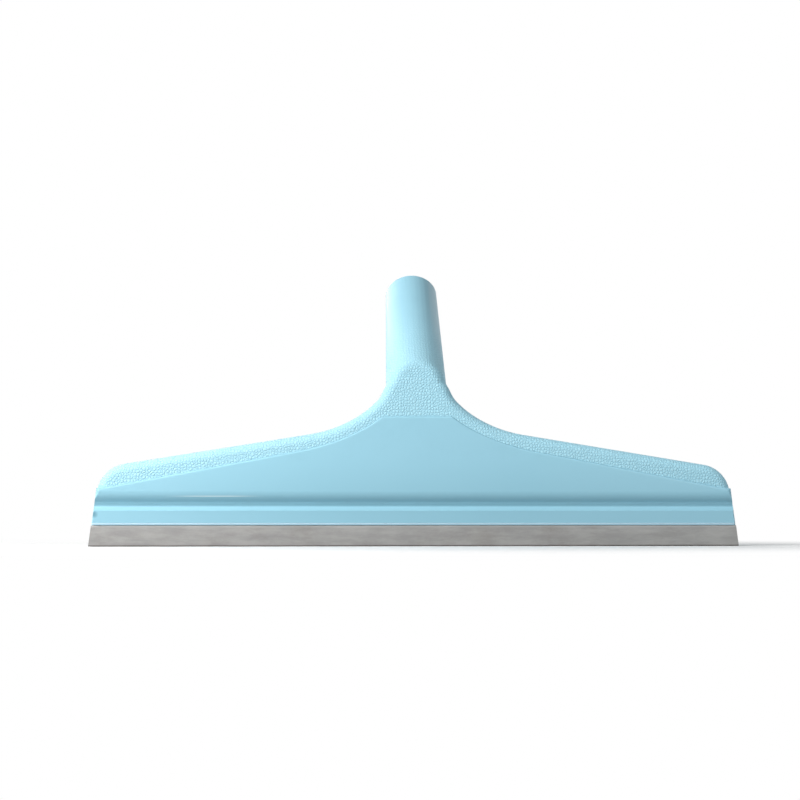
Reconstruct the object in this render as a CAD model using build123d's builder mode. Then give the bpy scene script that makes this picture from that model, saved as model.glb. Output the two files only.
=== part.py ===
from build123d import *
import os
from math import cos, radians, sin, tan

# A squeegee head: one moulding with a pole socket and two wings, and a double foam blade on a
# carrier that slides endways into the moulding's open jaw.
# Millimetres. X runs along the blade, +Y is the back, where the socket leans, and +Z is up.
# The origin is the middle of the front foam strip's wiping edge.

os.makedirs("parts", exist_ok=True)

# Foam blade and its carrier
blade_length = 400.0  # along the wiping edge
blade_thickness = 9.0  # of each strip, below the jaw
neck_thickness = 5.0  # of each strip, inside the jaw
foam_showing = 13.0  # height of foam below the jaw
end_slope = 0.119  # the ends of the blade and the moulding lean in this much per height
spine_thickness = 2.0  # carrier web between the two strips
spine_foot_gap = 1.0  # the spine stops this far above the jaw's mouth
carrier_head_width = 15.0
carrier_head_height = 2.6
carrier_end_inset = 0.5  # the carrier stops this far inside the moulding's ends
slide_clearance = 0.3  # between the blade assembly and the jaw, all round

# Jaw of the moulding
jaw_width = 20.4
jaw_height = 8.8  # from the mouth to the start of the shoulder
lip_height = 4.4  # the ledges that carry the blade
lip_bead_height = 0.8
lip_bead_proud = 0.35
lip_bead_round = 0.3
jaw_end_round = 3.0

# Groove, fold and raised panel above the jaw
valley_rise = 3.6  # from the jaw's shoulder to the bottom of the groove
valley_round = 3.0
shoulder_round = 2.6
fold_rise = 8.6  # from the bottom of the groove to the flat of the panel
fold_radius = 9.5
fold_turn = 38.0  # the panel's face turns in this far, then runs straight to the groove
panel_raise = 0.8  # panel above the grained band round it
panel_edge_round = 2.0  # along the panel's raised edge; it ends inside the web
panel_end_height = 35.6
panel_shoulder = (75.0, 58.6)  # where the panel's sloping edge starts to sweep up
panel_sweep_angle = 38.0  # of the panel's edge where it meets the flat top
panel_top_width = 43.0
panel_top_height = 80.6

# Wings
web_width = 20.4
web_root = 4.6  # the web runs down this far behind the panel's end
web_end_inset = 0.1  # grained web's end, in from the panel's end
wing_tip_height = 48.3
wing_tip_inset = 6.4  # wing end, in from the end of the wiping edge
wing_tip_radius = 19.0
wing_edge_round = 5.5
sweep_reach = 47.1  # the top edge starts to sweep up this far outside the socket's side
sweep_drop = 29.0  # and this far below the socket's crossing
sweep_arcs = ((80.0, 21.5), (62.0, 14.5), (22.0, 20.0))  # radius and turn of each arc
sweep_run = 3.0  # straight stretch after them, up to the socket
sweep_close_radius = 15.0  # the arc that turns the edge in, under the socket's surface
sweep_close_turn = 45.0
sweep_tail = 3.0  # straight end of the sweep, inside the socket
sweep_notch_drop = 7.0  # level of the web's hidden end, below the socket's crossing

# Pole socket
socket_lean = 46.0  # degrees, from upright
socket_height = 98.0  # where its axis crosses the jaw's middle plane
socket_length = 100.0  # from that crossing to the rim
socket_root_radius = 18.9
socket_rim_radius = 17.1
socket_rim_round = 1.2
socket_arch_round = 7.0  # of the edge where it runs out into the flat front
socket_trim_drop = 10.0  # its buried foot is cut off from here, below the crossing
socket_trim_slope = 0.4  # of that cut, falling to the back
socket_bore_radius = 12.9
socket_bore_depth = 80.0
socket_mouth_chamfer = 1.0

# Pockets moulded up into the wings from the jaw, with ribs left between them
pocket_wall = 1.6  # plastic between a pocket and the bottom of the groove
pocket_roof = 9.5  # plastic above a pocket
pocket_end_inset = 9.5  # pockets stop this far in from the end of the wiping edge
pocket_corner_round = 2.0
pocket_count = 8
rib_thickness = 3.0

# Pins pressed through the two strips and the carrier's spine; the jaw's lips keep them in
pin_count = 5
pin_end_margin = 20.0
pin_radius = 1.5
pin_clearance = 0.05

# Levels and widths worked out from those sizes
jaw_mouth = foam_showing
ledge_level = jaw_mouth + lip_height
foam_top = ledge_level + slide_clearance
groove_roof = foam_top + carrier_head_height + slide_clearance
shoulder_level = jaw_mouth + jaw_height
valley_level = shoulder_level + valley_rise
fold_level = valley_level + fold_rise
panel_width = web_width + 2 * panel_raise
fold_foot_half = panel_width / 2 - fold_radius * (1 - cos(radians(fold_turn)))
fold_foot_level = fold_level - fold_radius * sin(radians(fold_turn))
valley_half = fold_foot_half - (fold_foot_level - valley_level) * tan(radians(fold_turn))
plan_width = max(panel_width, jaw_width + 2 * lip_bead_proud)
pack_width = 2 * neck_thickness + spine_thickness
mouth_width = pack_width + 2 * slide_clearance
groove_width = carrier_head_width + 2 * slide_clearance
blade_half = blade_length / 2
wing_tip = (blade_half - wing_tip_inset, wing_tip_height)
sweep_start = (socket_root_radius + sweep_reach, socket_height - sweep_drop)
web_floor = panel_end_height - web_root
pin_level = (jaw_mouth + foam_top) / 2
pin_pitch = (blade_length - 2 * pin_end_margin) / (pin_count - 1)
near = 0.01  # how close two positions are to count as the same

# The jaw's middle plane lies behind the front strip's own middle by strip_offset.
strip_offset = (blade_thickness + spine_thickness) / 2
front_plane = Plane(origin=(0, strip_offset, 0), x_dir=(1, 0, 0), z_dir=(0, -1, 0))
side_plane = Plane(origin=(0, strip_offset, 0), x_dir=(0, 1, 0), z_dir=(1, 0, 0))
web_front = strip_offset - web_width / 2
web_back = strip_offset + web_width / 2

# The socket's axis leans back from the jaw's middle plane. Its section is drawn on the lower side.
lean = radians(socket_lean)
socket_foot = Vector(0, strip_offset, socket_height)
socket_direction = Vector(0, sin(lean), cos(lean))
socket_section = Plane(origin=socket_foot, x_dir=(0, cos(lean), -sin(lean)), z_dir=(1, 0, 0))
socket_axis = Axis(socket_foot, socket_direction)


def end_x(height):
    """Half length of the blade and the moulding at a height above the wiping edge."""
    return blade_half - end_slope * height


def lies_in_plane(edge, y):
    """Whether an edge lies in the plane at this Y."""
    box = edge.bounding_box()
    return abs(box.min.Y - y) < near and abs(box.max.Y - y) < near


# Socket blank: a tapered post that runs down into the web. Its front is cut flush with the web's
# front, with a rounded edge, and the sharp foot below is cut off inside the web.
socket_buried = (web_width / 2 + 2 * socket_root_radius) / sin(lean)
socket_taper = (socket_root_radius - socket_rim_radius) / socket_length
with BuildPart() as socket_blank:
    with BuildSketch(socket_section) as socket_half:
        with BuildLine():
            Polyline(
                (0, -socket_buried),
                (socket_root_radius + socket_taper * socket_buried, -socket_buried),
                (socket_rim_radius, socket_length),
                (0, socket_length),
                close=True,
            )
        make_face()
        fillet(socket_half.vertices().sort_by(Axis.Y)[-2:].sort_by(Axis.X)[-1], socket_rim_round)
    revolve(axis=socket_axis)
    split(bisect_by=Plane(origin=(0, web_front, 0), z_dir=(0, 1, 0)), keep=Keep.TOP)
    trim_level = socket_height - socket_trim_drop
    trim_plane = Plane(origin=(0, web_front, trim_level), z_dir=(0, socket_trim_slope, 1))
    split(bisect_by=trim_plane, keep=Keep.TOP)
    arch = [
        edge
        for edge in socket_blank.edges().filter_by(GeomType.ELLIPSE)
        if lies_in_plane(edge, web_front)
    ]
    fillet(arch, socket_arch_round)

# Lower body blank: jaw, groove, fold and the raised panel, the same on the front and the back
with BuildPart() as panel_blank:
    with BuildSketch(side_plane) as panel_profile:
        with BuildLine():
            Polyline(
                (0, panel_top_height),
                (panel_width / 2, panel_top_height),
                (panel_width / 2, fold_level),
            )
            fold_arc = JernArc(
                start=(panel_width / 2, fold_level),
                tangent=(0, -1),
                radius=fold_radius,
                arc_size=-fold_turn,
            )
            Polyline(
                fold_arc @ 1,
                (valley_half, valley_level),
                (jaw_width / 2, shoulder_level),
                (jaw_width / 2, jaw_mouth + lip_bead_height + lip_bead_proud),
                (jaw_width / 2 + lip_bead_proud, jaw_mouth + lip_bead_height),
                (jaw_width / 2 + lip_bead_proud, jaw_mouth),
                (0, jaw_mouth),
            )
            mirror(about=Plane.YZ)
        make_face()
        corners = panel_profile.vertices()
        fillet([v for v in corners if abs(v.Y - valley_level) < near], valley_round)
        fillet([v for v in corners if abs(v.Y - shoulder_level) < near], shoulder_round)
        fillet(
            [v for v in corners if abs(v.X) > jaw_width / 2 + near and v.Y < ledge_level],
            lip_bead_round,
        )
    extrude(amount=blade_half, both=True)
    with BuildSketch(front_plane):
        with BuildLine():
            # The sloping edge runs on past the panel's end, which is cut last
            panel_corner = (panel_top_width / 2, panel_top_height)
            panel_end = (end_x(panel_end_height), panel_end_height)
            panel_run = Vector(*panel_end) - Vector(*panel_shoulder)
            edge_end = Vector(*panel_end) + panel_run.normalized() * jaw_width
            Polyline(
                (0, jaw_mouth),
                (edge_end.X, jaw_mouth),
                edge_end,
                panel_shoulder,
            )
            Spline(
                panel_shoulder,
                panel_corner,
                tangents=[
                    -panel_run,
                    (-cos(radians(panel_sweep_angle)), sin(radians(panel_sweep_angle))),
                ],
            )
            Line(panel_corner, (0, panel_top_height))
            mirror(about=Plane.YZ)
        make_face()
    extrude(amount=panel_width, both=True, mode=Mode.INTERSECT)
    # The rounded edge along the panel's sides and top
    for panel_side in (-1, 1):
        panel_face = strip_offset + panel_side * panel_width / 2
        raised_edges = [
            edge
            for edge in panel_blank.edges()
            if lies_in_plane(edge, panel_face)
            and edge.bounding_box().max.Z > panel_shoulder[1] - near
        ]
        fillet(raised_edges, panel_edge_round)
    # The leaning ends, with rounded corners seen from above
    for level in (0, panel_top_height):
        with BuildSketch(Plane(origin=(0, strip_offset, level))):
            RectangleRounded(2 * end_x(level), plan_width, jaw_end_round)
    loft(ruled=True, mode=Mode.INTERSECT)

# Pockets blank: the hollows moulded up into the wings, one each side of every rib
pocket_end = blade_half - pocket_end_inset
pocket_pitch = 2 * pocket_end / pocket_count
wing_slope = (sweep_start[1] - wing_tip[1]) / (wing_tip[0] - sweep_start[0])
pocket_peak = sweep_start[1] - pocket_roof
with BuildPart() as pockets_blank:
    with BuildSketch(front_plane) as pockets:
        with BuildLine():
            Polyline(
                (0, ledge_level),
                (pocket_end, ledge_level),
                (pocket_end, pocket_peak - wing_slope * (pocket_end - sweep_start[0])),
                (sweep_start[0], pocket_peak),
                (0, pocket_peak),
            )
            mirror(about=Plane.YZ)
        make_face()
        with GridLocations(pocket_pitch, 0, pocket_count - 1, 1):
            Rectangle(rib_thickness, 2 * panel_top_height, mode=Mode.SUBTRACT)
        fillet(
            [v for v in pockets.vertices() if v.Y > groove_roof],
            pocket_corner_round,
        )
    extrude(amount=valley_half - pocket_wall, both=True)

# Head moulding: web, socket and lower body in one, with the blade's slot and the pole's bore cut in
web_plane = Plane(origin=(0, web_front, 0), x_dir=(1, 0, 0), z_dir=(0, -1, 0))
with BuildPart() as head_moulding:
    with BuildSketch(web_plane) as web:
        with BuildLine():
            Polyline(
                (0, web_floor),
                (end_x(web_floor) - web_end_inset, web_floor),
                (wing_tip[0] - web_end_inset, wing_tip[1]),
                sweep_start,
            )
            # The sweep: arcs that run on from the straight edge, a short straight, and one that turns in
            sweep_point = sweep_start
            sweep_heading = Vector(sweep_start[0] - wing_tip[0], sweep_start[1] - wing_tip[1])
            for arc_radius, arc_turn in sweep_arcs:
                sweep_arc = JernArc(
                    start=sweep_point,
                    tangent=sweep_heading,
                    radius=arc_radius,
                    arc_size=-arc_turn,
                )
                sweep_point = sweep_arc @ 1
                sweep_heading = sweep_arc % 1
            close_start = sweep_point + sweep_heading * sweep_run
            Line(sweep_point, close_start)
            close_arc = JernArc(
                start=close_start,
                tangent=sweep_heading,
                radius=sweep_close_radius,
                arc_size=sweep_close_turn,
            )
            sweep_end = close_arc @ 1 + close_arc % 1 * sweep_tail
            notch_level = socket_height - sweep_notch_drop
            Polyline(close_arc @ 1, sweep_end, (sweep_end.X, notch_level), (0, notch_level))
            mirror(about=Plane.YZ)
        make_face()
        fillet([v for v in web.vertices() if abs(v.Y - wing_tip[1]) < near], wing_tip_radius)
    extrude(amount=-web_width)
    # Rounded edges all along the outline, front and back, but not round the end hidden in the socket
    for level in (web_front, web_back):
        outline = [
            edge
            for edge in head_moulding.edges()
            if lies_in_plane(edge, level)
            and edge.bounding_box().size.X > near
            and edge.bounding_box().size.Z > near
        ]
        fillet(outline, wing_edge_round)
    add(socket_blank.part)
    add(panel_blank.part)
    # The slot that the blade slides in, open at both ends and undercut to hold the carrier's head
    with BuildSketch(side_plane):
        with Locations((0, jaw_mouth)):
            Rectangle(mouth_width, 2 * lip_height)
        with Locations((0, ledge_level)):
            Rectangle(groove_width, groove_roof - ledge_level, align=(Align.CENTER, Align.MIN))
    extrude(amount=blade_length, both=True, mode=Mode.SUBTRACT)
    add(pockets_blank.part, mode=Mode.SUBTRACT)
    # The pole's bore, blind, with a small chamfer at its mouth
    with BuildSketch(socket_section):
        with BuildLine():
            Polyline(
                (0, socket_length - socket_bore_depth),
                (socket_bore_radius, socket_length - socket_bore_depth),
                (socket_bore_radius, socket_length - socket_mouth_chamfer),
                (socket_bore_radius + socket_mouth_chamfer, socket_length),
                (0, socket_length),
                close=True,
            )
        make_face()
    revolve(axis=socket_axis, mode=Mode.SUBTRACT)
head_moulding.part.label = "head_moulding"
export_step(head_moulding.part, "parts/head_moulding.step")

# Blade carrier: a T-shaped strip whose head rides on the jaw's ledges
with BuildPart() as blade_carrier:
    with BuildSketch(side_plane):
        with Locations((0, foam_top)):
            Rectangle(carrier_head_width, carrier_head_height, align=(Align.CENTER, Align.MIN))
            Rectangle(
                spine_thickness,
                foam_top - jaw_mouth - spine_foot_gap,
                align=(Align.CENTER, Align.MAX),
            )
    extrude(amount=end_x(groove_roof) - carrier_end_inset, both=True)
    with BuildSketch(front_plane):
        with Locations((0, pin_level)):
            with GridLocations(pin_pitch, 0, pin_count, 1):
                Circle(pin_radius + pin_clearance)
    extrude(amount=spine_thickness, both=True, mode=Mode.SUBTRACT)
blade_carrier.part.label = "blade_carrier"
export_step(blade_carrier.part, "parts/blade_carrier.step")

# Foam blades: two strips, one each side of the spine, thinner where they go up into the jaw
blade_depths = ((neck_thickness, foam_top), (blade_thickness, jaw_mouth - slide_clearance))
for name, blade_side, inner in (("front_blade", -1, Align.MAX), ("rear_blade", 1, Align.MIN)):
    with BuildPart() as foam_blade:
        with BuildSketch(side_plane):
            with Locations((blade_side * spine_thickness / 2, 0)):
                for strip_depth, strip_top in blade_depths:
                    Rectangle(strip_depth, strip_top, align=(inner, Align.MIN))
        extrude(amount=blade_half, both=True)
        # Ends cut in line with the moulding's leaning ends
        with BuildSketch(front_plane):
            with BuildLine():
                Polyline(
                    (-end_x(0), 0),
                    (end_x(0), 0),
                    (end_x(foam_top), foam_top),
                    (-end_x(foam_top), foam_top),
                    close=True,
                )
            make_face()
        extrude(amount=plan_width, both=True, mode=Mode.INTERSECT)
        with BuildSketch(front_plane):
            with Locations((0, pin_level)):
                with GridLocations(pin_pitch, 0, pin_count, 1):
                    Circle(pin_radius + pin_clearance)
        extrude(amount=pack_width, both=True, mode=Mode.SUBTRACT)
    foam_blade.part.label = name
    export_step(foam_blade.part, f"parts/{name}.step")

# Pins: plain lengths of wire, flush with the outer faces of the strips' thin upper parts
with BuildPart() as blade_pins:
    with BuildSketch(front_plane):
        with Locations((0, pin_level)):
            with GridLocations(pin_pitch, 0, pin_count, 1):
                Circle(pin_radius)
    extrude(amount=pack_width / 2, both=True)
blade_pins.part.label = "blade_pins"
export_step(blade_pins.part, "parts/blade_pins.step")
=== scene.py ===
import math
import random

import bmesh
import bpy
from mathutils import Color, Matrix, Vector


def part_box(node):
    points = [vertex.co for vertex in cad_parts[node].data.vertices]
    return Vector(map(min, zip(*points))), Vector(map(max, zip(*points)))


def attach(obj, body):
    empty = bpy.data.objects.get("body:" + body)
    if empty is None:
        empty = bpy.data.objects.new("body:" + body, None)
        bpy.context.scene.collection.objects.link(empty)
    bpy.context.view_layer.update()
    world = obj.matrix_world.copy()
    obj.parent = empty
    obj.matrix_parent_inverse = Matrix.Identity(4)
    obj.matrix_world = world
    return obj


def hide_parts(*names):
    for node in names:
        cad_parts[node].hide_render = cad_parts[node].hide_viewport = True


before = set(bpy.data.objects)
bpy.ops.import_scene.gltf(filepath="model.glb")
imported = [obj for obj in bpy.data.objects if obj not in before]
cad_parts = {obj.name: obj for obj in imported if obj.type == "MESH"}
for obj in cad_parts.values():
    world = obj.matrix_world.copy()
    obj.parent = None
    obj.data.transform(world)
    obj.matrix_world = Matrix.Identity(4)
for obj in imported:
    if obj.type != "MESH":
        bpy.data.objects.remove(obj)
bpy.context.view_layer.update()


# Head moulding: one light-blue polypropylene injection moulding with the pole socket, the swept wings,
# the raised panel and the jaw in one piece. The tool is polished for the panel and the jaw, and
# etched with a fine leather grain over the wings and the neck, fading out up the socket.
joining_distance = 2e-6
sliver_length = 1e-6


def merged_copy(node, name):
    """A copy of a CAD node's mesh as a new object, with its loose triangles joined."""
    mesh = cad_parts[node].data.copy()
    mesh.name = name
    mesh.materials.clear()
    bm = bmesh.new()
    bm.from_mesh(mesh)
    bmesh.ops.remove_doubles(bm, verts=bm.verts, dist=joining_distance)
    bmesh.ops.dissolve_degenerate(bm, edges=bm.edges, dist=sliver_length)
    bm.to_mesh(mesh)
    bm.free()
    piece = bpy.data.objects.new(name, mesh)
    bpy.context.scene.collection.objects.link(piece)
    return piece


head = merged_copy("head_moulding", "head_body")

# The neck and the socket, in metres. The bore and the rim fit a pole, so they keep their shape.
head_middle = 0.0055
socket_crossing = Vector((0.0, head_middle, 0.098))
socket_lean = math.radians(46.0)
socket_along = Vector((0.0, math.sin(socket_lean), math.cos(socket_lean)))
bore_radius = 0.0129
bore_wall_margin = 0.001
bore_floor = 0.020
bore_floor_margin = 0.003
neck_start = 0.083
neck_full = 0.089
rim_start = 0.096
below_rim = 0.092


def smooth_share(value, low, high):
    """Smooth step of a plain number, from 0 at low to 1 at high."""
    share = min(max((value - low) / (high - low), 0.0), 1.0)
    return share * share * (3 - 2 * share)


def neck_share(point):
    """How far a point belongs to the neck and socket: 0 on the wings, at the rim and in the pole's bore."""
    offset = point - socket_crossing
    up_axis = offset.dot(socket_along)
    off_axis = (offset - up_axis * socket_along).length
    if up_axis > bore_floor - bore_floor_margin and off_axis < bore_radius + bore_wall_margin:
        return 0.0
    return smooth_share(point.z, neck_start, neck_full) * smooth_share(up_axis, rim_start, below_rim)


# The toolmaker blended the neck by hand: its mesh is refined and relaxed, so the creases there go soft
neck_mesh_size = 0.0015
neck_refinings = 6
neck_relaxings = 45
relax_steps = (0.5, -0.51)
bm = bmesh.new()
bm.from_mesh(head.data)
bmesh.ops.triangulate(bm, faces=bm.faces)
for _ in range(neck_refinings):
    long_edges = [
        edge
        for edge in bm.edges
        if edge.calc_length() > neck_mesh_size and max(neck_share(v.co) for v in edge.verts) > 0.0
    ]
    bmesh.ops.subdivide_edges(bm, edges=long_edges, cuts=1)
    bmesh.ops.triangulate(bm, faces=[face for face in bm.faces if len(face.verts) > 3])
neck_verts = {vertex: vertex.co.copy() for vertex in bm.verts if neck_share(vertex.co) > 0.0}
for _ in range(neck_relaxings):
    for step in relax_steps:
        bmesh.ops.smooth_vert(
            bm, verts=list(neck_verts), factor=step, use_axis_x=True, use_axis_y=True, use_axis_z=True
        )
for vertex, moulded in neck_verts.items():
    vertex.co = moulded.lerp(vertex.co, neck_share(moulded))
bm.to_mesh(head.data)
bm.free()


def shade_by_angle(piece, degrees):
    """Smooth shading, with a hard line left where two faces meet at more than this angle."""
    bm = bmesh.new()
    bm.from_mesh(piece.data)
    for face in bm.faces:
        face.smooth = True
    for edge in bm.edges:
        edge.smooth = len(edge.link_faces) == 2 and edge.calc_face_angle(math.pi) < math.radians(degrees)
    bm.to_mesh(piece.data)
    bm.free()
    weighted = piece.modifiers.new("even_shading", "WEIGHTED_NORMAL")
    weighted.mode = "FACE_AREA"
    weighted.weight = 100
    weighted.keep_sharp = True


head_crease = 32.0
shade_by_angle(head, head_crease)


def new_group(name, inputs, outputs):
    """An empty shader node group, with the sockets that come into it and those that leave it."""
    group = bpy.data.node_groups.new(name, "ShaderNodeTree")
    for socket_name, kind in inputs.items():
        group.interface.new_socket(socket_name, in_out="INPUT", socket_type=kind)
    for socket_name, kind in outputs.items():
        group.interface.new_socket(socket_name, in_out="OUTPUT", socket_type=kind)
    return group, group.nodes.new("NodeGroupInput").outputs, group.nodes.new("NodeGroupOutput").inputs


def feed(tree, socket, value):
    """Gives an input a plain value, or links another node's output to it."""
    if isinstance(value, bpy.types.NodeSocket):
        tree.links.new(value, socket)
    else:
        socket.default_value = value


def add_node(tree, kind, inputs=None, **settings):
    """A node with its settings, and its inputs fed with plain values or other nodes' outputs."""
    node = tree.nodes.new(kind)
    for key, value in settings.items():
        setattr(node, key, value)
    for key, value in (inputs or {}).items():
        feed(tree, node.inputs[key], value)
    return node


def math_node(tree, operation, first, second=0.0, clamp=False):
    """What a Math node makes of sockets or plain numbers."""
    inputs = {0: first, 1: second}
    return add_node(tree, "ShaderNodeMath", inputs, operation=operation, use_clamp=clamp).outputs[0]


def ramp_value(tree, value, low, high, start=0.0, stop=1.0):
    """Smooth step of a value from low to high, put out from start to stop."""
    inputs = {"Value": value, "From Min": low, "From Max": high, "To Min": start, "To Max": stop}
    return add_node(tree, "ShaderNodeMapRange", inputs, interpolation_type="SMOOTHSTEP").outputs["Result"]


# Leather grain of the etched tool: even pebbles with valleys between them. The pattern is laid on flat from
# the side that a face looks to, and blended where a face turns from one side to the next.
grain_blend_sharpness = 6.0
grain_waver_frequency = 500.0
grain_waver = 0.0006
grain_unevenness = 0.8
pebble_slope = 0.4
grain_group, grain_in, grain_out = new_group(
    "leather_grain",
    {"Position": "NodeSocketVector", "Facing": "NodeSocketVector", "Pitch": "NodeSocketFloat"},
    {"Height": "NodeSocketFloat"},
)
grain_frequency = math_node(grain_group, "DIVIDE", 1.0, grain_in["Pitch"])
grain_warp = add_node(
    grain_group,
    "ShaderNodeTexNoise",
    {"Vector": grain_in["Position"], "Scale": grain_waver_frequency, "Detail": 2.0},
)
grain_shift = add_node(
    grain_group,
    "ShaderNodeVectorMath",
    {0: grain_warp.outputs["Color"], 1: (grain_waver, grain_waver, grain_waver), 2: grain_in["Position"]},
    operation="MULTIPLY_ADD",
)
grain_axes = add_node(grain_group, "ShaderNodeSeparateXYZ", {0: grain_shift.outputs[0]}).outputs
grain_sides = add_node(grain_group, "ShaderNodeSeparateXYZ", {0: grain_in["Facing"]}).outputs
grain_sum = 0.0
weight_sum = 0.0
for side, first, second in (("X", "Y", "Z"), ("Y", "X", "Z"), ("Z", "X", "Y")):
    flat_place = add_node(
        grain_group, "ShaderNodeCombineXYZ", {"X": grain_axes[first], "Y": grain_axes[second]}
    )
    grain_cells = add_node(
        grain_group,
        "ShaderNodeTexVoronoi",
        {"Vector": flat_place.outputs[0], "Scale": grain_frequency, "Randomness": grain_unevenness},
        feature="DISTANCE_TO_EDGE",
        voronoi_dimensions="2D",
    )
    pebble = ramp_value(grain_group, grain_cells.outputs["Distance"], 0.0, pebble_slope)
    faces_side = math_node(grain_group, "ABSOLUTE", grain_sides[side])
    weight = math_node(grain_group, "POWER", faces_side, grain_blend_sharpness)
    grain_sum = math_node(grain_group, "ADD", math_node(grain_group, "MULTIPLY", pebble, weight), grain_sum)
    weight_sum = math_node(grain_group, "ADD", weight, weight_sum)
feed(grain_group, grain_out["Height"], math_node(grain_group, "DIVIDE", grain_sum, weight_sum))


def noise_value(tree, place, frequency, detail, roughness=0.5):
    """The value of a Noise texture at a place."""
    inputs = {"Vector": place, "Scale": frequency, "Detail": detail, "Roughness": roughness}
    return add_node(tree, "ShaderNodeTexNoise", inputs).outputs["Fac"]


# Dirt that settles in patches: the more there is, the lower the noise at which it starts to show
clean_start = 0.8
grime_drop = 0.5
grime_full = 0.85
grime_group, grime_in, grime_out = new_group(
    "grime",
    {"Position": "NodeSocketVector", "Frequency": "NodeSocketFloat", "Amount": "NodeSocketFloat"},
    {"Mask": "NodeSocketFloat"},
)
grime_noise = noise_value(
    grime_group, grime_in["Position"], grime_in["Frequency"], detail=6.0, roughness=0.65
)
grime_start = math_node(
    grime_group, "SUBTRACT", clean_start, math_node(grime_group, "MULTIPLY", grime_in["Amount"], grime_drop)
)
feed(grime_group, grime_out["Mask"], ramp_value(grime_group, grime_noise, grime_start, grime_full))


def grime_mask(tree, place, frequency, amount):
    """Where grime lies on a material, from 0 to 1."""
    inputs = {"Position": place, "Frequency": frequency, "Amount": amount}
    return add_node(tree, "ShaderNodeGroup", inputs, node_tree=grime_group).outputs["Mask"]


def stretched_noise(tree, place, frequencies, detail, roughness=0.5):
    """The value of a Noise texture with its own frequency along X, Y and Z."""
    stretch = add_node(tree, "ShaderNodeVectorMath", {0: place, 1: frequencies}, operation="MULTIPLY")
    return noise_value(tree, stretch.outputs[0], 1.0, detail, roughness)


# Hair scratches left by wiping and stacking
scratch_frequencies = (14.0, 60.0, 900.0)
scratch_start = 0.68
scratch_full = 0.78
scratch_group, scratch_in, scratch_out = new_group(
    "hair_scratches",
    {"Position": "NodeSocketVector", "Turn": "NodeSocketFloat"},
    {"Mask": "NodeSocketFloat"},
)
scratch_turn = add_node(
    scratch_group,
    "ShaderNodeVectorRotate",
    {"Vector": scratch_in["Position"], "Angle": scratch_in["Turn"]},
    rotation_type="Y_AXIS",
)
scratch_noise = stretched_noise(scratch_group, scratch_turn.outputs[0], scratch_frequencies, detail=2.0)
scratch_mask = ramp_value(scratch_group, scratch_noise, scratch_start, scratch_full)
feed(scratch_group, scratch_out["Mask"], scratch_mask)


def new_material(name):
    """A node material with its tree, shader and Object coordinates."""
    material = bpy.data.materials.new(name)
    material.use_nodes = True
    tree = material.node_tree
    shader = tree.nodes["Principled BSDF"]
    place = tree.nodes.new("ShaderNodeTexCoord").outputs["Object"]
    return material, tree, shader, place


head_plastic, tree, shader, place = new_material("blue_moulded_plastic")
axes = add_node(tree, "ShaderNodeSeparateXYZ", {0: place}).outputs
across = math_node(tree, "ABSOLUTE", math_node(tree, "SUBTRACT", axes["Y"], head_middle))
from_crossing = add_node(tree, "ShaderNodeVectorMath", {0: place, 1: socket_crossing}, operation="SUBTRACT")
along_socket = add_node(
    tree, "ShaderNodeVectorMath", {0: from_crossing.outputs[0], 1: socket_along}, operation="DOT_PRODUCT"
).outputs["Value"]


def product(tree, first, *others):
    """Sockets and plain numbers multiplied together."""
    for other in others:
        first = math_node(tree, "MULTIPLY", first, other)
    return first


# The grain covers the web and the neck, stops at the raised panel and fades up the socket. The web and
# the panel are told apart by how far their faces lie from the head's middle plane.
web_ends = 0.0103
panel_starts = 0.0105
panel_top = 0.081
neck_bottom = 0.083
grain_floor = 0.036
grain_floor_blend = 0.001
grain_fade_start = -0.010
grain_fade_end = 0.075
grain_pitch = 0.0018
on_web = ramp_value(tree, across, web_ends, panel_starts, start=1.0, stop=0.0)
on_neck = ramp_value(tree, axes["Z"], panel_top, neck_bottom)
not_panel = math_node(tree, "MAXIMUM", on_web, on_neck)
above_fold = ramp_value(tree, axes["Z"], grain_floor, grain_floor + grain_floor_blend)
below_plain = ramp_value(tree, along_socket, grain_fade_start, grain_fade_end, start=1.0, stop=0.0)
grained = product(tree, not_panel, above_fold, below_plain)
facing = tree.nodes.new("ShaderNodeTexCoord").outputs["Normal"]
grain = add_node(
    tree,
    "ShaderNodeGroup",
    {"Position": place, "Facing": facing, "Pitch": grain_pitch},
    node_tree=grain_group,
).outputs["Height"]

# Scratches everywhere below the neck
scratch_turn_angle = 0.25
scratch_fade_start = 0.074
scratch_fade_end = 0.080
scratches = add_node(
    tree, "ShaderNodeGroup", {"Position": place, "Turn": scratch_turn_angle}, node_tree=scratch_group
)
below_neck = ramp_value(tree, axes["Z"], scratch_fade_start, scratch_fade_end, start=1.0, stop=0.0)
scratched = product(tree, scratches.outputs["Mask"], below_neck)


def mix_colour(tree, share, first, second):
    """A mix of two colours, each a socket or a plain colour: inputs 6 and 7 and output 2 of a Mix node."""
    return add_node(tree, "ShaderNodeMix", {0: share, 6: first, 7: second}, data_type="RGBA").outputs[2]


def srgb(red, green, blue):
    """A colour given as 0 to 255 values, as linear numbers."""
    return (*Color((red / 255, green / 255, blue / 255)).from_srgb_to_scene_linear(), 1.0)


plastic_blue = srgb(160, 211, 229)
plastic_pale = srgb(162, 212, 230)
# Painted shade and highlight: the grain's valley colour is darker and its crown colour paler, and both are
# paler than the polished plastic
grain_valley_shade = srgb(166, 217, 235)
grain_crown_highlight = srgb(184, 231, 246)
cloud = noise_value(tree, place, frequency=9.0, detail=3.0)
tint = mix_colour(tree, ramp_value(tree, cloud, low=0.35, high=0.65), plastic_blue, plastic_pale)
# The grained faces get painted shade in the pebbles' valleys and a painted highlight on their crowns
tint = mix_colour(tree, grained, tint, mix_colour(tree, grain, grain_valley_shade, grain_crown_highlight))


def line_mask(tree, value, middle, half, soft):
    """1 where a value lies within half of the middle, falling to 0 over the soft stretch beyond."""
    reach = math_node(tree, "ABSOLUTE", math_node(tree, "SUBTRACT", value, middle))
    return ramp_value(tree, reach, half, half + soft, start=1.0, stop=0.0)
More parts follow.
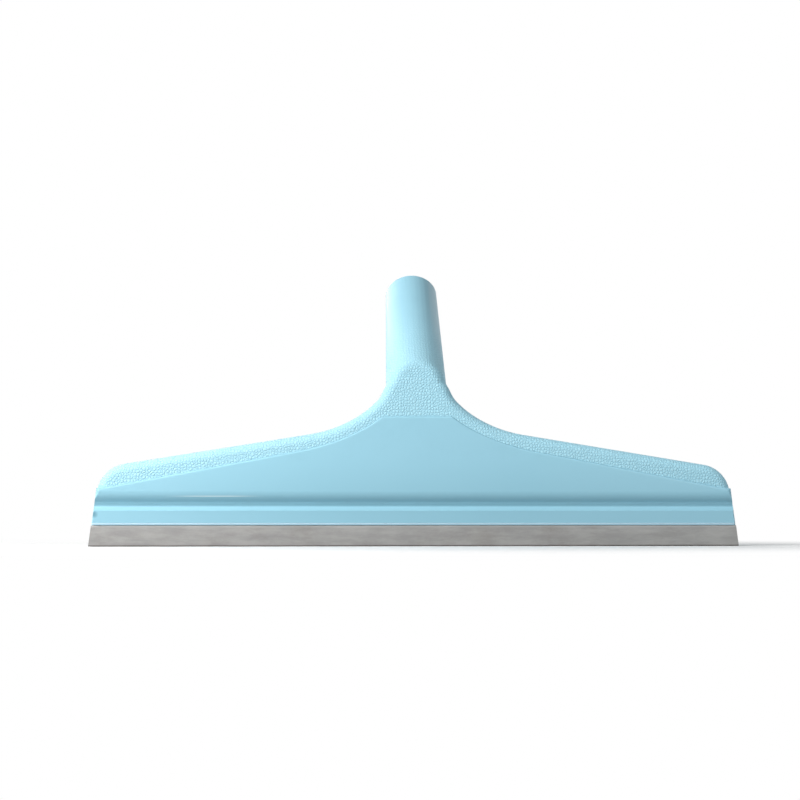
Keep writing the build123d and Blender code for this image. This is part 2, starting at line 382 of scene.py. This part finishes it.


# Dark grime in faint patches, and painted shade: in the groove, at the foot of the panel's raised edge,
# and as a thin darkening that grows towards the blade
patch_share = 0.05
groove_shade_share = 0.5
panel_foot_shade_share = 0.5
bottom_shade_share = 0.13
groove_floor = 0.0254
groove_shade_bottom = 0.0238
groove_shade_full = 0.0250
groove_shade_top = 0.0276
patches = product(tree, grime_mask(tree, place, frequency=45.0, amount=0.75), patch_share)
# Painted shade in the groove under the fold
groove_shade = product(
    tree,
    ramp_value(tree, axes["Z"], groove_shade_bottom, groove_shade_full),
    ramp_value(tree, axes["Z"], groove_floor, groove_shade_top, start=1.0, stop=0.0),
    groove_shade_share,
)
# Painted shade: a thin dark line along the foot of the panel's raised edge
panel_foot_shade = product(
    tree,
    line_mask(tree, across, middle=0.01038, half=0.0001, soft=0.00006),
    line_mask(tree, axes["Z"], middle=0.059, half=0.0222, soft=0.0004),
    panel_foot_shade_share,
)
# Painted shade: the face gets darker towards the blade
bottom_shade = ramp_value(tree, axes["Z"], low=0.02, high=0.06, start=bottom_shade_share, stop=0.0)
dirt_and_shade_share = math_node(tree, "ADD", patches, groove_shade, clamp=True)
dirt_and_shade_share = math_node(tree, "MAXIMUM", dirt_and_shade_share, panel_foot_shade)
dirt_and_shade_share = math_node(tree, "MAXIMUM", dirt_and_shade_share, bottom_shade)

# A dark rub at the jaw's left end, and a painted highlight: a pale streak on the crown of the fold, to the
# left in front
end_rub_share = 0.8
fold_highlight_share = 0.8
in_front = ramp_value(tree, axes["Y"], low=0.0, high=0.002, start=1.0, stop=0.0)
end_rub = product(
    tree,
    line_mask(tree, axes["X"], middle=-0.1985, half=0.0006, soft=0.0055),
    line_mask(tree, axes["Z"], middle=0.0196, half=0.0002, soft=0.0032),
    in_front,
    end_rub_share,
)
dirt_and_shade_share = math_node(tree, "MAXIMUM", dirt_and_shade_share, end_rub)
fold_highlight = product(
    tree,
    line_mask(tree, axes["X"], middle=-0.1235, half=0.006, soft=0.026),
    line_mask(tree, axes["Z"], middle=0.0306, half=0.0001, soft=0.0004),
    in_front,
    fold_highlight_share,
)
# The dark colour serves the dirt and the painted shade, and the pale one the painted highlight
dark_dirt_and_shade = srgb(60, 112, 132)
highlight_white = srgb(226, 246, 250)
tint = mix_colour(tree, dirt_and_shade_share, tint, dark_dirt_and_shade)
tint = mix_colour(tree, fold_highlight, tint, highlight_white)

# The bead along the lip is painted paler and greyer, partly wear and partly a painted highlight
bead_wear_and_highlight_share = 0.55
worn_and_lit_edge = srgb(190, 204, 216)
on_bead = line_mask(tree, axes["Z"], middle=0.0138, half=0.0004, soft=0.0003)
tint = mix_colour(tree, product(tree, on_bead, bead_wear_and_highlight_share), tint, worn_and_lit_edge)
feed(tree, shader.inputs["Base Color"], tint)

polished_roughness = 0.29
grained_roughness = 0.5
scratch_roughness = 0.05
dirt_and_shade_roughness = 0.3
head_roughness = ramp_value(tree, grained, 0.0, 1.0, polished_roughness, grained_roughness)
roughened = math_node(
    tree, "ADD", product(tree, scratched, scratch_roughness), product(tree, dirt_and_shade_share, dirt_and_shade_roughness)
)
feed(tree, shader.inputs["Roughness"], math_node(tree, "ADD", head_roughness, roughened, clamp=True))
shader.inputs["IOR"].default_value = 1.49
shader.inputs["Specular IOR Level"].default_value = 0.15


def bump_surface(tree, shader, height, strength, depth):
    """Bumps a material by a height from 0 to 1 that stands for this depth in metres."""
    bump = add_node(tree, "ShaderNodeBump", {"Height": height, "Strength": strength, "Distance": depth})
    feed(tree, shader.inputs["Normal"], bump.outputs["Normal"])


# The grain's pebbles stand up, the faces ripple a little where they cooled unevenly, and scratches cut in
ripple_height = 0.15
scratch_height = -0.006
ripple = noise_value(tree, place, frequency=60.0, detail=2.0)
head_height = math_node(tree, "ADD", product(tree, grain, grained), product(tree, ripple, ripple_height))
head_height = math_node(tree, "ADD", head_height, product(tree, scratched, scratch_height))
bump_surface(tree, shader, head_height, strength=1.0, depth=0.00022)
head.data.materials.append(head_plastic)
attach(head, "head")
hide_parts("head_moulding")


# Blade carrier: a T-shaped extruded strip of pale polypropylene between the two foam strips. Its head
# slides in the jaw's slot, and the pins go through its spine.
carrier = merged_copy("blade_carrier", "carrier_strip")
flat_limit = math.radians(1.0)
corner_turn = 1.0
shortest_corner = 0.0019
carrier_edge_round = 0.0002
edge_crease = 40.0
bm = bmesh.new()
bm.from_mesh(carrier.data)
bmesh.ops.dissolve_limit(bm, angle_limit=flat_limit, verts=bm.verts, edges=bm.edges)
carrier_edges = [
    edge
    for edge in bm.edges
    if edge.is_manifold
    and abs(edge.calc_face_angle(0.0)) > corner_turn
    and edge.calc_length() > shortest_corner
]
bmesh.ops.bevel(
    bm, geom=carrier_edges, offset=carrier_edge_round, segments=2, profile=0.5, affect="EDGES", material=-1
)
bm.to_mesh(carrier.data)
bm.free()
shade_by_angle(carrier, edge_crease)
carrier_plastic, tree, shader, place = new_material("pale_carrier_plastic")
draw_frequencies = (6.0, 1500.0, 1500.0)
carrier_grime_share = 0.35
carrier_grey = srgb(205, 213, 215)
carrier_pale = srgb(226, 230, 230)
carrier_dirt = srgb(150, 148, 138)
draw_lines = stretched_noise(tree, place, draw_frequencies, detail=3.0)
carrier_grime = product(tree, grime_mask(tree, place, frequency=60.0, amount=0.8), carrier_grime_share)
carrier_tint = mix_colour(tree, draw_lines, carrier_grey, carrier_pale)
carrier_tint = mix_colour(tree, carrier_grime, carrier_tint, carrier_dirt)
carrier_roughness = ramp_value(tree, draw_lines, low=0.3, high=0.7, start=0.42, stop=0.56)
feed(tree, shader.inputs["Base Color"], carrier_tint)
feed(tree, shader.inputs["Roughness"], carrier_roughness)
bump_surface(tree, shader, draw_lines, strength=0.5, depth=0.00004)
carrier.data.materials.append(carrier_plastic)
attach(carrier, "blade_cassette")
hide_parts("blade_carrier")


# Foam blades: two strips of grey foam rubber, slit from sheet and pinned to the carrier. The cut faces are
# matte and finely pored, and the wiping edge is a little worn and stained.
foam_rubber, tree, shader, place = new_material("grey_foam_rubber")
pore_frequency = 1900.0
mottle_frequencies = (45.0, 160.0, 220.0)
slit_frequencies = (30.0, 400.0, 700.0)
slit_share = 0.2
stain_share = 0.4
lip_light_share = 0.4
edge_wear_share = 0.8
slit_height = 0.8
foam_grey = srgb(156, 155, 154)
foam_pale = srgb(177, 176, 174)
slit_grey = srgb(134, 132, 128)
stain_brown = srgb(112, 103, 92)
lit_foam = srgb(222, 221, 219)
worn_foam = srgb(84, 74, 66)
axes = add_node(tree, "ShaderNodeSeparateXYZ", {0: place}).outputs
pores = add_node(
    tree, "ShaderNodeTexVoronoi", {"Vector": place, "Scale": pore_frequency}, feature="SMOOTH_F1"
)
mottle = stretched_noise(tree, place, mottle_frequencies, detail=5.0, roughness=0.65)
slit_lines = stretched_noise(tree, place, slit_frequencies, detail=3.0)
stains = product(tree, grime_mask(tree, place, frequency=38.0, amount=0.7), stain_share)
# Painted light: the foam just under the lip is painted paler, where the bead's shade falls
lip_light_band = ramp_value(tree, axes["Z"], low=0.0112, high=0.0128, start=0.0, stop=lip_light_share)
edge_wear = ramp_value(tree, axes["Z"], low=0.0002, high=0.0012, start=edge_wear_share, stop=0.0)
foam_tint = mix_colour(tree, ramp_value(tree, mottle, low=0.3, high=0.7), foam_grey, foam_pale)
foam_tint = mix_colour(tree, product(tree, slit_lines, slit_share), foam_tint, slit_grey)
foam_tint = mix_colour(tree, stains, foam_tint, stain_brown)
foam_tint = mix_colour(tree, lip_light_band, foam_tint, lit_foam)
foam_tint = mix_colour(tree, edge_wear, foam_tint, worn_foam)
foam_roughness = ramp_value(tree, mottle, low=0.2, high=0.8, start=0.8, stop=0.95)
feed(tree, shader.inputs["Base Color"], foam_tint)
feed(tree, shader.inputs["Roughness"], foam_roughness)
shader.inputs["Specular IOR Level"].default_value = 0.3
foam_height = math_node(tree, "ADD", pores.outputs["Distance"], product(tree, slit_lines, slit_height))
bump_surface(tree, shader, foam_height, strength=0.6, depth=0.00012)


def piece_from(bm, name):
    """A finished bmesh as a new object in the scene."""
    mesh = bpy.data.meshes.new(name)
    bm.to_mesh(mesh)
    bm.free()
    piece = bpy.data.objects.new(name, mesh)
    bpy.context.scene.collection.objects.link(piece)
    return piece


edge_random = random.Random(7)
neck_depth = 0.005
step_level = 0.01296
end_slope = 0.119
edge_round = 0.0003
strip_cells = 160
strip_rows = 6
wear_waves = (41.0, 97.0, 173.0, 311.0)
worn_height = 0.003
edge_waver = 0.00012
swell = 0.00025
steady_swell = 0.7
uneven_swell = 1 / 3
for node_name, piece_name, outward in (
    ("front_blade", "front_foam_strip", -1),
    ("rear_blade", "rear_foam_strip", 1),
):
    low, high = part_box(node_name)
    outer, inner = (low.y, high.y) if outward < 0 else (high.y, low.y)
    neck = inner + outward * neck_depth
    section = (
        (inner, low.z),
        (outer, low.z),
        (outer, step_level),
        (neck, step_level),
        (neck, high.z),
        (inner, high.z),
    )
    # The left end, cut at the moulding's slope, is drawn out to a right end that mirrors it
    bm = bmesh.new()
    left_end = bm.faces.new([bm.verts.new((end_slope * z - high.x, y, z)) for y, z in section])
    drawn_out = bmesh.ops.extrude_face_region(bm, geom=[left_end])["geom"]
    for corner in drawn_out:
        if isinstance(corner, bmesh.types.BMVert):
            corner.co.x = -corner.co.x
    bmesh.ops.recalc_face_normals(bm, faces=bm.faces)
    bmesh.ops.bevel(
        bm, geom=bm.edges[:], offset=edge_round, segments=3, profile=0.5, affect="EDGES", material=-1
    )
    long_edges = [edge for edge in bm.edges if edge.calc_length() > high.x]
    bmesh.ops.subdivide_edges(bm, edges=long_edges, cuts=strip_cells, use_grid_fill=True)
    upright_edges = [
        edge for edge in bm.edges if abs(edge.verts[0].co.z - edge.verts[1].co.z) > step_level / 2
    ]
    bmesh.ops.subdivide_edges(bm, edges=upright_edges, cuts=strip_rows - 1, use_grid_fill=True)
    # The free face swells a little between the lip and the edge, and the worn edge wavers
    phases = [edge_random.uniform(0.0, 2 * math.pi) for _ in wear_waves]
    for vertex in bm.verts:
        waves = [math.sin(vertex.co.x * pitch + phase) for pitch, phase in zip(wear_waves, phases)]
        wave = sum(waves) / len(waves)
        worn = max(0.0, 1.0 - (vertex.co.z - low.z) / worn_height)
        height_share = min((vertex.co.z - low.z) / (step_level - low.z), 1.0)
        if abs(vertex.co.y - outer) < edge_round / 2:
            bulge = math.sin(math.pi * height_share) * (steady_swell + uneven_swell * wave)
            vertex.co.y += outward * swell * bulge
        vertex.co.z += edge_waver * worn * (1.0 + wave)
    strip = piece_from(bm, piece_name)
    shade_by_angle(strip, edge_crease)
    strip.data.materials.append(foam_rubber)
    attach(strip, "blade_cassette")
    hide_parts(node_name)


# Pins: five lengths of drawn steel wire pressed through the strips and the carrier's spine, with
# slightly rounded ends. The jaw keeps them from working out.
low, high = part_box("blade_pins")
pin_radius = (high.z - low.z) / 2
pin_count = 5
pin_pitch = (high.x - low.x - 2 * pin_radius) / (pin_count - 1)
pin_facets = 32
pin_proud = 0.0001
pin_end_round = 0.0004
bm = bmesh.new()
for index in range(pin_count):
    centre = Vector((low.x + pin_radius + index * pin_pitch, (low.y + high.y) / 2, (low.z + high.z) / 2))
    made = bmesh.ops.create_cone(
        bm,
        cap_ends=True,
        segments=pin_facets,
        radius1=pin_radius,
        radius2=pin_radius,
        depth=high.y - low.y + 2 * pin_proud,
        matrix=Matrix.Translation(centre) @ Matrix.Rotation(math.pi / 2, 4, "X"),
    )
    rim_edges = {
        edge
        for vertex in made["verts"]
        for edge in vertex.link_edges
        if any(len(face.verts) > 4 for face in edge.link_faces)
    }
    bmesh.ops.bevel(
        bm, geom=list(rim_edges), offset=pin_end_round, segments=3, profile=0.5, affect="EDGES", material=-1
    )
pins = piece_from(bm, "wire_pins")
shade_by_angle(pins, edge_crease)
pin_steel, tree, shader, place = new_material("drawn_wire_steel")
wire_frequencies = (3000.0, 120.0, 3000.0)
wire_dark = srgb(168, 168, 170)
wire_bright = srgb(205, 205, 207)
wire_lines = stretched_noise(tree, place, wire_frequencies, detail=2.0)
wire_roughness = ramp_value(tree, wire_lines, low=0.3, high=0.7, start=0.25, stop=0.42)
feed(tree, shader.inputs["Base Color"], mix_colour(tree, wire_lines, wire_dark, wire_bright))
feed(tree, shader.inputs["Roughness"], wire_roughness)
shader.inputs["Metallic"].default_value = 1.0
bump_surface(tree, shader, wire_lines, strength=0.4, depth=0.00003)
pins.data.materials.append(pin_steel)
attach(pins, "blade_cassette")
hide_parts("blade_pins")


# Studio: a pale floor that keeps the object's shadow near it and turns to plain white further out,
# a white surround, a window light and a warm lamp on the left, two small lamps low in front and two
# broad ones behind.
bm = bmesh.new()
bmesh.ops.create_grid(bm, x_segments=2, y_segments=2, size=6.0)
floor = piece_from(bm, "studio_floor")
floor_finish, tree, shader, place = new_material("pale_floor")
floor_grey = srgb(243, 243, 243)
floor_pale = srgb(247, 247, 247)
bounce_grey = srgb(104, 116, 119)
floor_noise = noise_value(tree, place, frequency=3.0, detail=2.0)
feed(tree, shader.inputs["Base Color"], mix_colour(tree, floor_noise, floor_grey, floor_pale))
shader.inputs["Roughness"].default_value = 0.9


def seen_directly(tree):
    """1 for what the camera sees, also in a mirror or through glass, and 0 for light that bounces."""
    ray = tree.nodes.new("ShaderNodeLightPath").outputs
    seen = math_node(tree, "MAXIMUM", ray["Is Camera Ray"], ray["Is Glossy Ray"])
    return math_node(tree, "MAXIMUM", seen, ray["Is Transmission Ray"])


def mix_shaders(tree, share, first, second):
    """A mix of two shaders."""
    return add_node(tree, "ShaderNodeMixShader", {0: share, 1: first, 2: second}).outputs[0]


shadow_stretch = (0.45, 1.0, 1.0)
shadow_full = 0.06
shadow_end = 0.22
floor_stretch = add_node(tree, "ShaderNodeVectorMath", {0: place, 1: shadow_stretch}, operation="MULTIPLY")
floor_reach = add_node(tree, "ShaderNodeVectorMath", {0: floor_stretch.outputs[0]}, operation="LENGTH")
far_out = ramp_value(tree, floor_reach.outputs["Value"], shadow_full, shadow_end)
floor_white = add_node(tree, "ShaderNodeEmission", {"Strength": 1.0})
floor_bounce = add_node(tree, "ShaderNodeBsdfDiffuse", {"Color": bounce_grey})
floor_shown = mix_shaders(tree, far_out, shader.outputs[0], floor_white.outputs[0])
floor_mix = mix_shaders(tree, seen_directly(tree), floor_bounce.outputs[0], floor_shown)
feed(tree, tree.nodes["Material Output"].inputs["Surface"], floor_mix)
floor.data.materials.append(floor_finish)

world = bpy.data.worlds.new("studio")
bpy.context.scene.world = world
world.use_nodes = True
tree = world.node_tree
surround = tree.nodes["Background"]
surround.inputs["Color"].default_value = (0.68, 0.92, 1.0, 1.0)
surround.inputs["Strength"].default_value = 0.11
white = add_node(tree, "ShaderNodeBackground", {"Color": (1.0, 1.0, 1.0, 1.0), "Strength": 1.0})
world_mix = mix_shaders(tree, seen_directly(tree), surround.outputs[0], white.outputs[0])
feed(tree, tree.nodes["World Output"].inputs["Surface"], world_mix)


def soft_lamp(name, place, aim, width, height, power, colour=(1.0, 1.0, 1.0)):
    """A rectangular area lamp at a place, turned to face a point."""
    lamp = bpy.data.lights.new(name, "AREA")
    lamp.color = colour
    lamp.shape = "RECTANGLE"
    lamp.size = width
    lamp.size_y = height
    lamp.energy = power
    holder = bpy.data.objects.new(name, lamp)
    holder.location = place
    holder.rotation_euler = (Vector(aim) - Vector(place)).to_track_quat("-Z", "Y").to_euler()
    bpy.context.scene.collection.objects.link(holder)


at_head = (0.0, 0.0, 0.08)
at_left_wing = (-0.14, 0.0, 0.05)
at_right_wing = (0.14, 0.0, 0.05)
warm_white = (1.0, 0.9, 0.86)
soft_lamp("left_lamp", (-0.44, -0.27, 0.3), at_head, width=0.2, height=0.3, power=1.35, colour=warm_white)
soft_lamp("left_window", (-0.95, -0.55, 0.65), at_head, width=0.5, height=0.8, power=9.6)
soft_lamp("left_front", (-0.30, -0.34, 0.16), at_left_wing, width=0.25, height=0.2, power=0.68)
soft_lamp("right_front", (0.30, -0.34, 0.16), at_right_wing, width=0.25, height=0.2, power=0.62)
soft_lamp("back_fill", (-0.6, 1.2, 0.9), at_head, width=1.0, height=1.0, power=7.0)
soft_lamp("side_fill", (1.0, 0.75, 0.6), at_head, width=0.8, height=0.8, power=1.5)

# Camera: a little left of the middle and just above the floor, looking slightly up
image_side = 800
focal_pixels = 1444.8
sensor_side = 36.0
camera_target = Vector((0.0, 0.002, 0.09))
camera_distance = 0.9
camera_yaw = math.radians(2.8)
camera_pitch = math.radians(4.45)
target_pixel = (416.50, 400.90)
forward = Vector((
    math.sin(camera_yaw) * math.cos(camera_pitch),
    math.cos(camera_yaw) * math.cos(camera_pitch),
    math.sin(camera_pitch),
))
camera_data = bpy.data.cameras.new("photo_camera")
camera_data.sensor_width = sensor_side
camera_data.lens = focal_pixels / image_side * sensor_side
camera_data.shift_x = (image_side / 2 - target_pixel[0]) / image_side
camera_data.shift_y = (target_pixel[1] - image_side / 2) / image_side
camera_data.clip_start = 0.01
camera = bpy.data.objects.new("photo_camera", camera_data)
camera.location = camera_target - forward * camera_distance
camera.rotation_euler = forward.to_track_quat("-Z", "Y").to_euler()
bpy.context.scene.collection.objects.link(camera)
bpy.context.scene.camera = camera
bpy.context.scene.view_settings.view_transform = "Standard"
